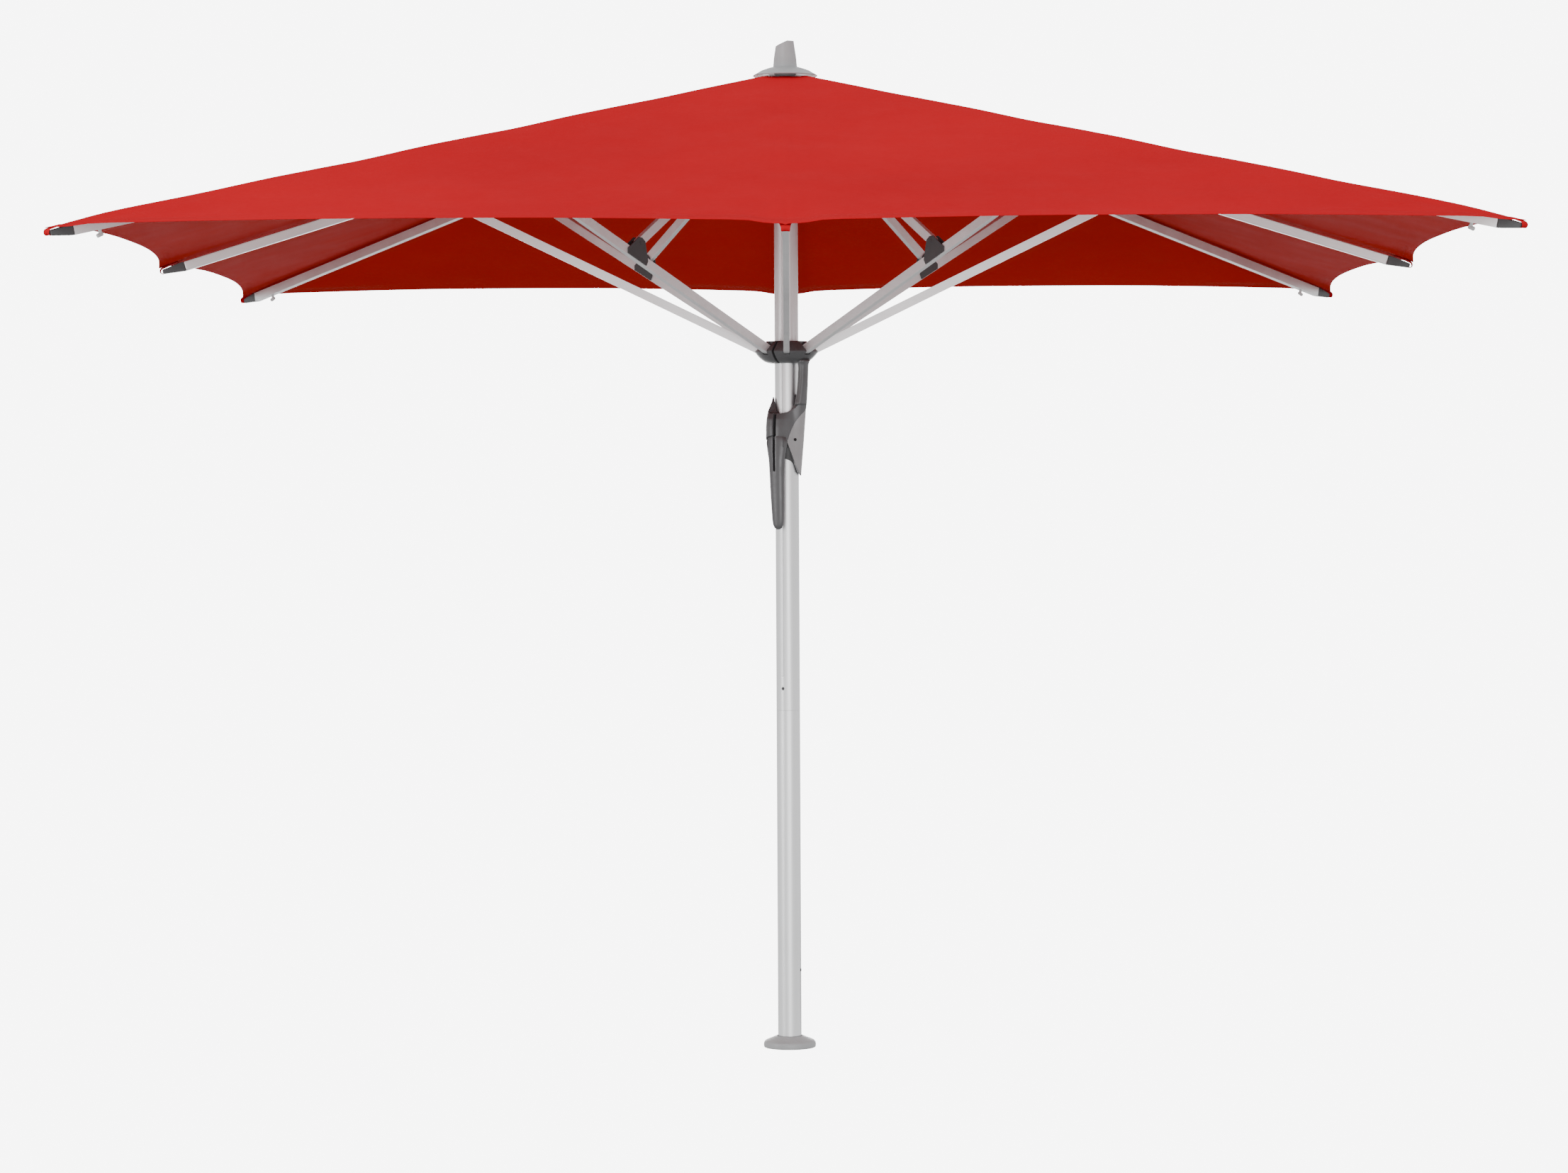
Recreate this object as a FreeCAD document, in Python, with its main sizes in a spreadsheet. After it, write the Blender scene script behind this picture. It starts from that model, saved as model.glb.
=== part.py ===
"""Patio umbrella with base: square lever-operated parasol on a bolted floor socket.

Millimetres, +Z up, origin on the mast's axis at the underside of the base flange.
The near side of the canopy faces -Y. Ribs are named by the way they point.
"""

import FreeCAD, Part
import math
import os
import re

V = FreeCAD.Vector
doc = FreeCAD.newDocument("PatioUmbrella")
sheet = doc.addObject("Spreadsheet::Sheet", "Sizes")

SIZES = [
    ("canopy_half", 1750, "half of the canopy's side, mast axis to eave"),
    ("hem_height", 2194, "height of the canopy's tips"),
    ("apex_height", 2725, "height at which the canopy's faces would meet"),
    ("cloth_thickness", 1.5, "thickness of the canopy's stand-in sheet"),
    ("hem_scallop", 57, "how far the hem is cut back between two tips"),
    ("mast_radius", 33, "outside radius of the mast"),
    ("mast_wall", 3, "wall of the mast"),
    ("mast_split", 945, "height of the joint between the mast's two lengths"),
    ("mast_top", 2630, "top of the upper mast tube"),
    ("mast_foot", 8, "bottom of the lower mast tube, on the flange"),
    ("spigot_length", 300, "length of the joining spigot inside the mast"),
    ("slide_gap", 0.5, "radial gap of a tube that slides or plugs in"),
    ("flange_radius", 64, "radius of the base flange"),
    ("flange_thickness", 8, "thickness of the base flange"),
    ("socket_height", 280, "height of the socket tube inside the mast"),
    ("anchor_circle", 49, "radius of the circle of anchor holes"),
    ("anchor_hole", 4.5, "radius of an anchor hole"),
    ("ring_radius", 72.5, "radius of the cover ring"),
    ("ring_side", 15, "height of the cover ring's upright side"),
    ("ring_height", 33, "height of the cover ring at the mast"),
    ("crown_height", 2690, "height of the rib pivots on the crown"),
    ("crown_reach", 58, "distance of the rib pivots from the axis"),
    ("crown_radius", 74, "radius of the crown hub"),
    ("crown_tube_foot", 1530, "bottom of the crown's sliding tube"),
    ("disc_radius", 89, "radius of the top disc"),
    ("finial_base", 33.5, "radius of the finial at its foot"),
    ("finial_top", 2810, "height of the finial"),
    ("disc_top", 2738, "height of the top disc"),
    ("head_height", 2600, "height of the stay pivots on the mast head"),
    ("head_reach", 58, "distance of the stay pivots from the axis"),
    ("head_radius", 70, "radius of the mast head"),
    ("runner_height", 1950, "height of the strut pivots on the runner"),
    ("runner_reach", 74, "distance of the strut pivots from the axis"),
    ("runner_radius", 88, "radius of the runner hub at its rim"),
    ("runner_bore", 36.4, "bore of the runner hub"),
    ("bush_wall", 2.4, "wall of the runner's liner"),
    ("slot_width", 18.4, "width of a strut slot in the runner"),
    ("rail_azimuth", -116, "direction in which the rail and lever point, degrees"),
    ("rail_width", 5, "width of the mast's guide rail"),
    ("rail_height", 3, "how far the guide rail stands proud"),
    ("slit_width", 7, "slit that passes over the guide rail"),
    ("rib_width", 20, "width of a rib"),
    ("rib_depth", 26, "depth of a rib"),
    ("rib_wall", 2, "wall of a rib"),
    ("rib_tip_height", 2170, "height of a rib's axis at its tip"),
    ("rib_tip_gap", 12, "how far the rib cap stops short of the canopy's tip"),
    ("cap_length", 66, "length of a rib's end cap"),
    ("strut_width", 17, "width of a strut"),
    ("strut_depth", 24, "depth of a strut"),
    ("strut_wall", 2, "wall of a strut or a stay"),
    ("stay_width", 15, "width of a stay"),
    ("corner_strut_reach", 1088, "distance of a corner clevis from the axis"),
    ("side_strut_reach", 970, "distance of a side shoe from the axis"),
    ("pin_drop", 31, "drop of a strut's upper pin below its rib's axis"),
    ("pin_radius", 4, "radius of the pins"),
    ("pin_play", 0.08, "radial play of a pin in its eye"),
    ("bracket_rise", 38, "rise of a stay's pin above its strut's axis"),
    ("housing_radius", 54, "outside radius of the lever housing"),
    ("housing_top", 1775, "top of the lever housing"),
    ("housing_foot", 1600, "bottom of the lever housing"),
    ("lever_height", 1690, "height of the lever's pivot"),
    ("lever_reach", 67, "distance of the lever's pivot from the axis"),
    ("lever_length", 236, "length of the lever below its pivot"),
    ("lever_width", 42, "width of the lever"),
    ("lever_depth", 22, "depth of the lever"),
]
for row, (alias, number, note) in enumerate(SIZES, 1):
    sheet.set(f"A{row}", note)
    sheet.set(f"B{row}", str(number))
    sheet.setAlias(f"B{row}", alias)
doc.recompute()
ALIASES = {alias for alias, _, _ in SIZES}

CORNERS = {"corner_back_right": 45, "corner_back_left": 135, "corner_front_left": 225, "corner_front_right": 315}
SIDES = {"side_right": 0, "side_back": 90, "side_left": 180, "side_front": 270}
EVERY = {**CORNERS, **SIDES}
X, Y, Z = V(1, 0, 0), V(0, 1, 0), V(0, 0, 1)
BIG = 400  # longer than any cutter needs to be
parts = {}


def size(alias):
    return float(getattr(sheet, alias))


def formula(text):
    """An expression for setExpression: every alias in text is looked up in the sheet."""
    return re.sub(r"[a-z_]+", lambda m: f"Sizes.{m[0]}" if m[0] in ALIASES else m[0], str(text))


def place(azimuth, reach=0, height=0, tilt=0):
    """A frame whose X points outwards at azimuth and down by tilt, both in degrees."""
    a = math.radians(azimuth)
    turn = FreeCAD.Rotation(Z, azimuth).multiply(FreeCAD.Rotation(Y, tilt))
    return FreeCAD.Placement(V(reach * math.cos(a), reach * math.sin(a), height), turn)


def made(kind, name, sizes, at=None):
    piece = doc.addObject(kind, name)
    for prop, text in sizes.items():
        piece.setExpression(prop, formula(text))
    if at is not None:
        piece.Placement = at
    return piece


def cylinder(name, radius, height, at=None):
    return made("Part::Cylinder", name, {"Radius": radius, "Height": height}, at)


def box(name, length, width, height, corner, at=None):
    """A box whose low corner is at corner in the frame at."""
    frame = at or FreeCAD.Placement()
    shift = FreeCAD.Placement(V(*corner), FreeCAD.Rotation())
    return made("Part::Box", name, {"Length": length, "Width": width, "Height": height}, frame.multiply(shift))


def across(name, radius, width, x, z, half):
    """A cylinder along Y, centred on y = 0, at x and z of its frame."""
    turn = FreeCAD.Rotation(X, -90)
    return cylinder(name, radius, width, FreeCAD.Placement(V(x, -half, z), turn))


def cut(name, base, tool):
    piece = doc.addObject("Part::Cut", name)
    piece.Base, piece.Tool = base, tool
    return piece


def fuse(name, pieces):
    piece = doc.addObject("Part::MultiFuse", name)
    piece.Shapes = pieces
    return piece


def group(name, pieces):
    piece = doc.addObject("Part::Compound", name)
    piece.Links = pieces
    return piece


def node(label, piece, at=None):
    if at is not None:
        piece.Placement = at
    piece.Label = label
    parts[label] = piece
    return piece


def tube(name, outer, inner, height, foot):
    at = FreeCAD.Placement(V(0, 0, foot), FreeCAD.Rotation())
    return cut(name, cylinder(name + "_out", outer, height, at), cylinder(name + "_bore", inner, height, at))


def turned(name, outline):
    """A PartDesign body of revolution about Z. outline is a closed list of (radius, height) formulas."""
    body = doc.addObject("PartDesign::Body", name)
    plane = [f for f in body.Origin.OriginFeatures if f.Role == "XZ_Plane"][0]
    sketch = body.newObject("Sketcher::SketchObject", name + "_profile")
    sketch.AttachmentSupport = [(plane, "")]
    sketch.MapMode = "FlatFace"
    count = len(outline)
    rough = [V(math.cos(2 * math.pi * i / count) * 20 + 60, math.sin(2 * math.pi * i / count) * 20, 0) for i in range(count)]
    for i in range(count):
        sketch.addGeometry(Part.LineSegment(rough[i], rough[(i + 1) % count]), False)
    import Sketcher
    for i in range(count):
        sketch.addConstraint(Sketcher.Constraint("Coincident", i, 2, (i + 1) % count, 1))
    numbers = [(value(r), value(h)) for r, h in outline]
    for i, (r, h) in enumerate(numbers):
        for kind, number, text in (("DistanceX", r, outline[i][0]), ("DistanceY", h, outline[i][1])):
            index = sketch.addConstraint(Sketcher.Constraint(kind, -1, 1, i, 1, number))
            sketch.setExpression(f"Constraints[{index}]", formula(text))
    turn = body.newObject("PartDesign::Revolution", name + "_turn")
    turn.Profile = sketch
    turn.ReferenceAxis = (sketch, ["V_Axis"])
    turn.Angle = 360
    return body


def value(text):
    """The number that a formula of the sheet gives."""
    probe = doc.getObject("Probe") or doc.addObject("App::FeaturePython", "Probe")
    if "Number" not in probe.PropertiesList:
        probe.addProperty("App::PropertyFloat", "Number")
    probe.setExpression("Number", formula(text))
    probe.recompute()
    return probe.Number


# ---- the linkage in one rib's plane, worked out from the sheet -------------------------------


class Arm:
    """One rib with its strut: angles in degrees, lengths in millimetres, points as (reach, height)."""

    def __init__(self, tip_reach, strut_reach):
        rise = size("crown_height") - size("rib_tip_height")
        self.tilt = math.degrees(math.atan2(rise, tip_reach - size("crown_reach")))
        t = math.radians(self.tilt)
        self.length = (tip_reach - size("crown_reach")) / math.cos(t)
        self.along = (strut_reach - size("crown_reach")) / math.cos(t)
        drop = size("pin_drop")
        self.pin = (
            size("crown_reach") + self.along * math.cos(t) - drop * math.sin(t),
            size("crown_height") - self.along * math.sin(t) - drop * math.cos(t),
        )
        dx, dz = self.pin[0] - size("runner_reach"), self.pin[1] - size("runner_height")
        self.strut = math.hypot(dx, dz)
        self.lift = math.degrees(math.atan2(dz, dx))


corner = Arm(size("canopy_half") * math.sqrt(2), size("corner_strut_reach"))
side = Arm(size("canopy_half"), size("side_strut_reach"))
half_strut = corner.strut / 2
lift = math.radians(corner.lift)
rise = size("bracket_rise")
stay_pin = (
    size("runner_reach") + half_strut * math.cos(lift) - rise * math.sin(lift),
    size("runner_height") + half_strut * math.sin(lift) + rise * math.cos(lift),
)
stay_run = stay_pin[0] - size("head_reach")
stay_fall = size("head_height") - stay_pin[1]
stay_length = math.hypot(stay_run, stay_fall)
stay_tilt = math.degrees(math.atan2(stay_fall, stay_run))

# ---- base and mast ----------------------------------------------------------------------------

inner = "mast_radius - mast_wall - slide_gap"
flange = cylinder("flange", "flange_radius", "flange_thickness")
socket = cylinder("socket", inner, "socket_height")
socket_bore = cylinder("socket_bore", inner + " - 4", "socket_height")
anchor_at = [place(a, size("anchor_circle")) for a in (45, 135, 225, 315)]
anchor_holes = [cylinder(f"anchor_hole_{i}", "anchor_hole", "flange_thickness", at) for i, at in enumerate(anchor_at)]
rail = size("rail_azimuth")
SCREWS = {"joint_screw": (rail, 1006), "clamp_screw": (-16, 217)}


def screw_shape(name, radius, length, azimuth, height, reach):
    """A screw lying along a radius of the mast."""
    spot = place(azimuth, reach, height).multiply(FreeCAD.Placement(V(0, 0, 0), FreeCAD.Rotation(Y, 90)))
    return cylinder(name, radius, length, spot)


def screw_holes(name):
    holes = [screw_shape(f"{name}_{k}", "4.1", "40", a, z, 10) for k, (a, z) in SCREWS.items()]
    return fuse(name + "_holes", holes)


base_cuts = fuse("base_cuts", [socket_bore, *anchor_holes])
node("base_socket", cut("base_socket", fuse("base_blank", [flange, socket]), base_cuts))
node("cover_ring", turned("cover_ring", [
    ("ring_radius", "0"), ("ring_radius + 0.6", "ring_side * 0.5"), ("ring_radius", "ring_side"),
    ("ring_radius - 5", "ring_side + 5"), ("mast_radius + 3", "ring_height"), ("mast_radius + 0.6", "ring_height - 1"),
    ("mast_radius + 0.6", "ring_height - 5"), ("ring_radius - 9", "ring_side"), ("ring_radius - 5", "0"),
]))
lower = tube("mast_lower_blank", "mast_radius", "mast_radius - mast_wall", "mast_split - mast_foot", size("mast_foot"))
node("mast_lower", cut("mast_lower", lower, screw_holes("lower")))
upper = tube("mast_upper_blank", "mast_radius", "mast_radius - mast_wall", "mast_top - mast_split", size("mast_split"))
node("mast_upper", cut("mast_upper", upper, screw_holes("upper")))
spigot_foot = size("mast_split") - size("spigot_length") / 2
spigot = tube("spigot_blank", inner, inner + " - 4", "spigot_length", spigot_foot)
node("mast_spigot", cut("mast_spigot", spigot, screw_holes("spigot")))
screws = [screw_shape(k, "4", "3.8", a, z, size("mast_radius") - 2.8) for k, (a, z) in SCREWS.items()]
node("mast_screws", group("mast_screws", screws))
rail_foot, rail_top = 1040, size("head_height") - 40
node("guide_rail", cut("guide_rail", box(
    "rail_bar", "rail_height + 3", "rail_width", str(rail_top - rail_foot),
    (size("mast_radius") - 3, -size("rail_width") / 2, rail_foot), place(rail),
), cylinder("rail_seat", "mast_radius + 0.02", str(3000))))


def slots(name, azimuths, width, reach, low, high):
    """Radial slots, open outwards, from reach outwards and from low to high."""
    cutters = []
    for i, a in enumerate(azimuths):
        corner_at = (reach, -value(width) / 2, low)
        cutters.append(box(f"{name}_slot_{i}", str(BIG), width, str(high - low), corner_at, place(a)))
    return fuse(name + "_slots", cutters)


def pins(name, azimuths, half, reach, height):
    made_pins = []
    for i, a in enumerate(azimuths):
        lie = place(a, reach, height).multiply(FreeCAD.Placement(V(0, -half, 0), FreeCAD.Rotation(X, -90)))
        made_pins.append(cylinder(f"{name}_{i}", "pin_radius", str(2 * half), lie))
    return made_pins


def pin_holes(name, azimuths, half, reach, height):
    """Seats for pins, a hair wider than the pins."""
    return fuse(name, [made("Part::Cylinder", f"{name}_{i}", {"Radius": "pin_radius + 0.01", "Height": str(2 * half)}, p.Placement)
                       for i, p in enumerate(pins(name + "_guide", azimuths, half, reach, height))])


def hub(label, outline, azimuths, width, slot_reach, low, high, reach, height, half):
    """A turned hub with radial slots and a seat for each pin."""
    blank = cut(label + "_slotted", turned(label + "_turned", outline), slots(label, azimuths, width, slot_reach, low, high))
    return cut(label, blank, pin_holes(label + "_seats", azimuths, half, reach, height))


head_z, head_r = size("head_height"), size("head_reach")
node("mast_head", hub("mast_head", [
    ("mast_radius + 0.05", "head_height - 30"), ("head_radius - 18", "head_height - 24"), ("head_radius", "head_height - 6"),
    ("head_radius", "head_height + 10"), ("head_radius - 6", "head_height + 16"), ("mast_radius + 0.05", "head_height + 16"),
], CORNERS.values(), "stay_width + 1.4", 43, head_z - 60, head_z + 60, head_r, head_z, 15))
node("mast_head_pins", group("mast_head_pins", pins("head_pin", CORNERS.values(), 15, head_r, head_z)))

# ---- crown: slides up inside the mast as the canopy folds ---------------------------------------

crown_z, crown_r = size("crown_height"), size("crown_reach")
node("crown_tube", tube("crown_tube", inner, inner + " - 3", "crown_height + 12 - crown_tube_foot", size("crown_tube_foot")))
node("crown_hub", hub("crown_hub", [
    (inner + " + 0.05", "crown_height - 18"), ("crown_radius - 8", "crown_height - 18"), ("crown_radius", "crown_height - 10"),
    ("crown_radius", "crown_height + 6"), ("crown_radius - 8", "crown_height + 12"), (inner + " + 0.05", "crown_height + 12"),
], EVERY.values(), "13.4", 43, crown_z - 60, crown_z + 60, crown_r, crown_z, 11))
node("crown_pins", group("crown_pins", pins("crown_pin", EVERY.values(), 11, crown_r, crown_z)))
node("top_disc", turned("top_disc", [
    ("0", "crown_height + 12.5"), ("30", "crown_height + 12.5"), ("30", "disc_top - 14"), ("disc_radius", "disc_top - 26"),
    ("disc_radius + 1", "disc_top - 23.5"), ("disc_radius - 22", "disc_top - 10"), ("finial_base + 12", "disc_top - 2.5"),
    ("finial_base + 2", "disc_top"), ("0", "disc_top"),
]))
finial = turned("finial_blank", [
    ("0", "disc_top + 0.1"), ("finial_base", "disc_top + 0.1"), ("finial_base - 2", "disc_top + 24"),
    ("finial_base - 6", "disc_top + 50"), ("finial_base - 9", "finial_top"), ("0", "finial_top"),
])
slant = box("finial_slant", "120", "120", "60", (-90, -60, 0), FreeCAD.Placement(V(6, 0, size("finial_top")), FreeCAD.Rotation(Y, -24)))
node("finial", cut("finial", finial, slant))

# ---- runner, lever housing and lever ------------------------------------------------------------

run_z, run_r = size("runner_height"), size("runner_reach")


def slit(name):
    """The slit that lets a runner piece pass the guide rail."""
    return box(name, str(BIG), "slit_width", "600", (20, -size("slit_width") / 2, 1500), place(rail))


runner = hub("runner_blank", [
    ("runner_bore", "runner_height - 38"), ("runner_bore + 8", "runner_height - 38"), ("runner_radius - 22", "runner_height - 26"),
    ("runner_radius - 4", "runner_height - 13"), ("runner_radius", "runner_height - 5"), ("runner_radius - 2", "runner_height + 2"),
    ("runner_radius - 12", "runner_height + 15"), ("runner_radius - 26", "runner_height + 22"),
    ("runner_bore", "runner_height + 26"),
], EVERY.values(), "slot_width", 58, run_z - 14, run_z + 60, run_r, run_z, 13)
node("runner_hub", cut("runner_hub", runner, slit("runner_slit")))
node("runner_pins", group("runner_pins", pins("runner_pin", EVERY.values(), 13, run_r, run_z)))
bush = tube("bush_blank", "runner_bore - 0.1", "runner_bore - bush_wall", "60", run_z - 36)
node("runner_bush", cut("runner_bush", bush, slit("bush_slit")))
foot, top = size("housing_foot"), size("housing_top")
sleeve = cylinder("housing_sleeve", "housing_radius", "housing_top - housing_foot", FreeCAD.Placement(V(0, 0, foot), FreeCAD.Rotation()))
arm_top = run_z - 38.05
neck = box("housing_arm", "17", "24", str(arm_top - top + 60), (37, -12, top - 60), place(-36))
blank = fuse("housing_blank", [sleeve, neck])
lever_r, lever_z = size("lever_reach"), size("lever_height")
lever_gap = "lever_width + 3"
window = box("housing_window", str(BIG), lever_gap, "240", (43, -value(lever_gap) / 2, lever_z - 225), place(rail))
bevel_at = place(rail + 90, 0, foot).multiply(FreeCAD.Placement(V(0, 0, 0), FreeCAD.Rotation(Y, 24)))
bevel = box("housing_bevel", "300", "300", "200", (-150, -150, -196), bevel_at)
bore = cylinder("housing_bore", "mast_radius + 1", "700", FreeCAD.Placement(V(0, 0, foot - 50), FreeCAD.Rotation()))
open_bore = fuse("housing_cuts", [bore, window, bevel, slit("housing_slit")])
node("lever_housing", cut("lever_housing", blank, open_bore))
ear_half = size("lever_width") / 2 + 4
ears = [box(f"lever_ear_{i}", "30", "2.4", "24", (44, y, lever_z - 12), place(rail)) for i, y in enumerate((-ear_half + 0.1, ear_half - 2.5))]
pin = pins("lever_pin_bar", [rail], ear_half + 2, lever_r, lever_z)[0]
node("lever_pin", fuse("lever_pin", [pin, *ears]))

long, wide, deep = size("lever_length"), size("lever_width"), size("lever_depth")
handle = fuse("lever_bar", [
    box("lever_grip", "lever_depth", "lever_width * 0.78", "lever_length - 14", (-deep / 2, -wide * 0.39, -long + 12)),
    box("lever_root", "lever_depth", "lever_width", "70", (-deep / 2, -wide / 2, -60)),
    box("lever_end", "lever_depth", "lever_width * 0.5", "14", (-deep / 2, -wide * 0.25, -long)),
])
lever_cuts = fuse("lever_cuts", [
    across("lever_eye", "pin_radius + pin_play", "80", 0, 0, 40),
    box("lever_slot", "12", "slit_width", "70", (-deep / 2 - 1, -size("slit_width") / 2, -58)),
])
node("lever", cut("lever", handle, lever_cuts), place(rail, lever_r, lever_z))

# ---- ribs, struts, stays ------------------------------------------------------------------------


def eye(name, radius, width, x, z=0):
    return across(name, radius, width, x, z, value(width) / 2)


def bar(name, length, width, depth, wall, start):
    """A box section along X, centred on the X axis, hollow from end to end."""
    w, d = value(width), value(depth)
    skin = box(name + "_out", str(length), width, depth, (start, -w / 2, -d / 2))
    hollow = box(name + "_in", str(length), f"{width} - 2 * {wall}", f"{depth} - 2 * {wall}", (start, -w / 2 + value(wall), -d / 2 + value(wall)))
    return cut(name + "_tube", skin, hollow)


def link(name, length, width):
    """A tube with a solid round eye at x = 0 and at x = length, bored for its pins."""
    body = bar(name, length - 24, width, "strut_depth", "strut_wall", 12)
    ends = []
    for i, (x, start) in enumerate(((0, 0), (length, length - 20))):
        ends.append(eye(f"{name}_eye_{i}", "strut_depth / 2", width, x))
        ends.append(box(f"{name}_plug_{i}", "20", width, "strut_depth", (start, -value(width) / 2, -size("strut_depth") / 2)))
    holes = [eye(f"{name}_hole_{i}", "pin_radius + pin_play", width + " + 2", x) for i, x in enumerate((0, length))]
    return cut(name + "_link", fuse(name + "_solid", [body, *ends]), fuse(name + "_holes", holes))


def rib_tube(name, arm):
    run = arm.length - size("rib_tip_gap") - size("cap_length")
    skin = bar(name, run - 22, "rib_width", "rib_depth", "rib_wall", 22)
    tongue = box(name + "_tongue", "44", "12", "22", (0, -6, -11))
    body = fuse(name + "_solid", [skin, tongue, eye(name + "_eye", "11", "12", 0), box(name + "_plug", "24", "16", "22", (22, -8, -11))])
    return cut(name + "_bored", body, eye(name + "_hole", "pin_radius + pin_play", "14", 0))


def clevis(name, x):
    """A saddle under a rib with two cheeks and the pin that the strut hangs on."""
    gap, drop = size("rib_width") / 2 + 0.05, size("pin_drop")
    under = -size("rib_depth") / 2 - 0.05
    cheeks = [box(f"{name}_cheek_{i}", "56", "3", str(drop + 18), (x - 28, y, -drop - 10)) for i, y in enumerate((-gap - 3, gap))]
    saddle = box(name + "_saddle", "56", str(2 * gap + 2), "3", (x - 28, -gap - 1, under - 3))
    pin = across(name + "_pin", "pin_radius", str(2 * gap + 9), x, -drop, gap + 4.5)
    return fuse(name + "_clevis", [*cheeks, saddle, pin])


def cap(name, arm, azimuth):
    """A rib's end cap: full depth at the tube, drawn to a low point at its tip."""
    start = arm.length - size("rib_tip_gap") - size("cap_length")
    w, d, long_cap = size("rib_width") + 1, size("rib_depth") + 1, size("cap_length")
    nose = doc.addObject("Part::Wedge", name + "_nose")
    nose.Xmin, nose.Ymin, nose.Zmin = -w / 2, 0, -d / 2
    nose.Xmax, nose.Ymax, nose.Zmax = w / 2, long_cap, d / 2
    nose.X2min, nose.X2max, nose.Z2min, nose.Z2max = -w / 4, w / 4, -d * 0.1, d / 2 - 4
    nose.Placement = place(azimuth, crown_r, crown_z, arm.tilt).multiply(
        FreeCAD.Placement(V(start, 0, 0), FreeCAD.Rotation(Z, -90)))
    return nose


for label, azimuth in EVERY.items():
    arm = corner if label in CORNERS else side
    at_crown = place(azimuth, crown_r, crown_z, arm.tilt)
    pieces = [rib_tube("rib_" + label, arm)]
    if label in CORNERS:
        pieces.append(clevis("clevis_" + label, arm.along))
    else:
        node("shoe_" + label, clevis("shoe_" + label, arm.along), at_crown)
    node("rib_" + label, group("rib_group_" + label, pieces), at_crown)
    node("rib_cap_" + label, cap("rib_cap_" + label, arm, azimuth))
    at_runner = place(azimuth, run_r, run_z, -arm.lift)
    node("strut_" + label, link("strut_" + label, arm.strut, "strut_width"), at_runner)
    if label in CORNERS:
        reach = size("strut_width") / 2 + 0.05
        outline = [(-44, -10), (30, -10), (36, 2), (14, rise + 9), (2, rise + 13), (-12, rise + 9), (-44, 4)]
        plates = []
        for i, y in enumerate((-reach - 3, reach)):
            line = doc.addObject("Part::Polygon", f"bracket_{label}_line_{i}")
            line.Nodes = [V(half_strut + px, y, pz) for px, pz in outline]
            line.Close = True
            plate = doc.addObject("Part::Extrusion", f"bracket_{label}_plate_{i}")
            plate.Base, plate.Dir, plate.DirMode, plate.LengthFwd, plate.Solid = line, Y, "Custom", 3, True
            plates.append(plate)
        rivet = across(f"bracket_{label}_pin", "pin_radius", str(2 * reach + 8), half_strut, rise, reach + 4)
        node("bracket_" + label, fuse("bracket_" + label, [*plates, rivet]), at_runner)
        node("stay_" + label, link("stay_" + label, stay_length, "stay_width"), place(azimuth, head_r, head_z, stay_tilt))

# ---- canopy: a plain sheet of eight gores ---------------------------------------------------------

half_side, apex, hem = size("canopy_half"), size("apex_height"), size("hem_height")
mouth = 48  # the fabric starts here, clamped under the top disc


def on_cloth(x, y):
    """A point of the pyramid's surface over (x, y)."""
    return V(x, y, apex - (apex - hem) * max(abs(x), abs(y)) / half_side)


def gore(index):
    """One of eight flat gores, turned to its side of the pyramid."""
    quarter, hand = divmod(index, 2)
    sign = 1 if hand else -1
    inset = half_side - size("hem_scallop")
    rim = [
        (mouth, 0), (half_side, 0), (inset + 30, sign * 60), (inset, sign * half_side * 0.35), (inset, sign * half_side * 0.62),
        (inset + 25, sign * (half_side - 110)), (half_side, sign * half_side), (mouth, sign * mouth),
    ]
    line = doc.addObject("Part::Polygon", f"gore_line_{index}")
    line.Nodes = [on_cloth(x, y) for x, y in rim]
    line.Close = True
    sheet_piece = doc.addObject("Part::Extrusion", f"gore_{index}")
    sheet_piece.Base, sheet_piece.Dir, sheet_piece.DirMode, sheet_piece.Solid = line, -Z, "Custom", True
    sheet_piece.setExpression("LengthFwd", formula("cloth_thickness"))
    sheet_piece.Placement = FreeCAD.Placement(V(0, 0, 0), FreeCAD.Rotation(Z, 90 * quarter))
    return sheet_piece


node("canopy", fuse("canopy", [gore(i) for i in range(8)]))

# ---- build, check, export -------------------------------------------------------------------------

doc.recompute()
bad = [o.Name for o in doc.Objects if {"Invalid", "Error"} & set(o.State)]
if bad:
    raise RuntimeError(f"these objects failed: {bad}")
os.makedirs("parts", exist_ok=True)
for label, piece in parts.items():
    shape = piece.Shape
    if shape.isNull() or not shape.isValid() or not shape.Solids:
        raise RuntimeError(f"{label} is not a valid solid")
    shape.exportStep(f"parts/{label}.step")
print(f"{len(parts)} nodes written")
print(f"corner rib tilt {corner.tilt:.6f} length {corner.length:.3f} along {corner.along:.3f} strut {corner.strut:.3f} lift {corner.lift:.6f}")
print(f"side rib tilt {side.tilt:.6f} length {side.length:.3f} along {side.along:.3f} strut {side.strut:.3f} lift {side.lift:.6f}")
print(f"stay length {stay_length:.3f} tilt {stay_tilt:.6f} pin {stay_pin[0]:.3f} {stay_pin[1]:.3f}")
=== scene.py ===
"""Looks for a square patio umbrella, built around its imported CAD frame. Metres, +Z up, near side -Y."""

import math

import bpy
from mathutils import Matrix, Vector


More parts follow.
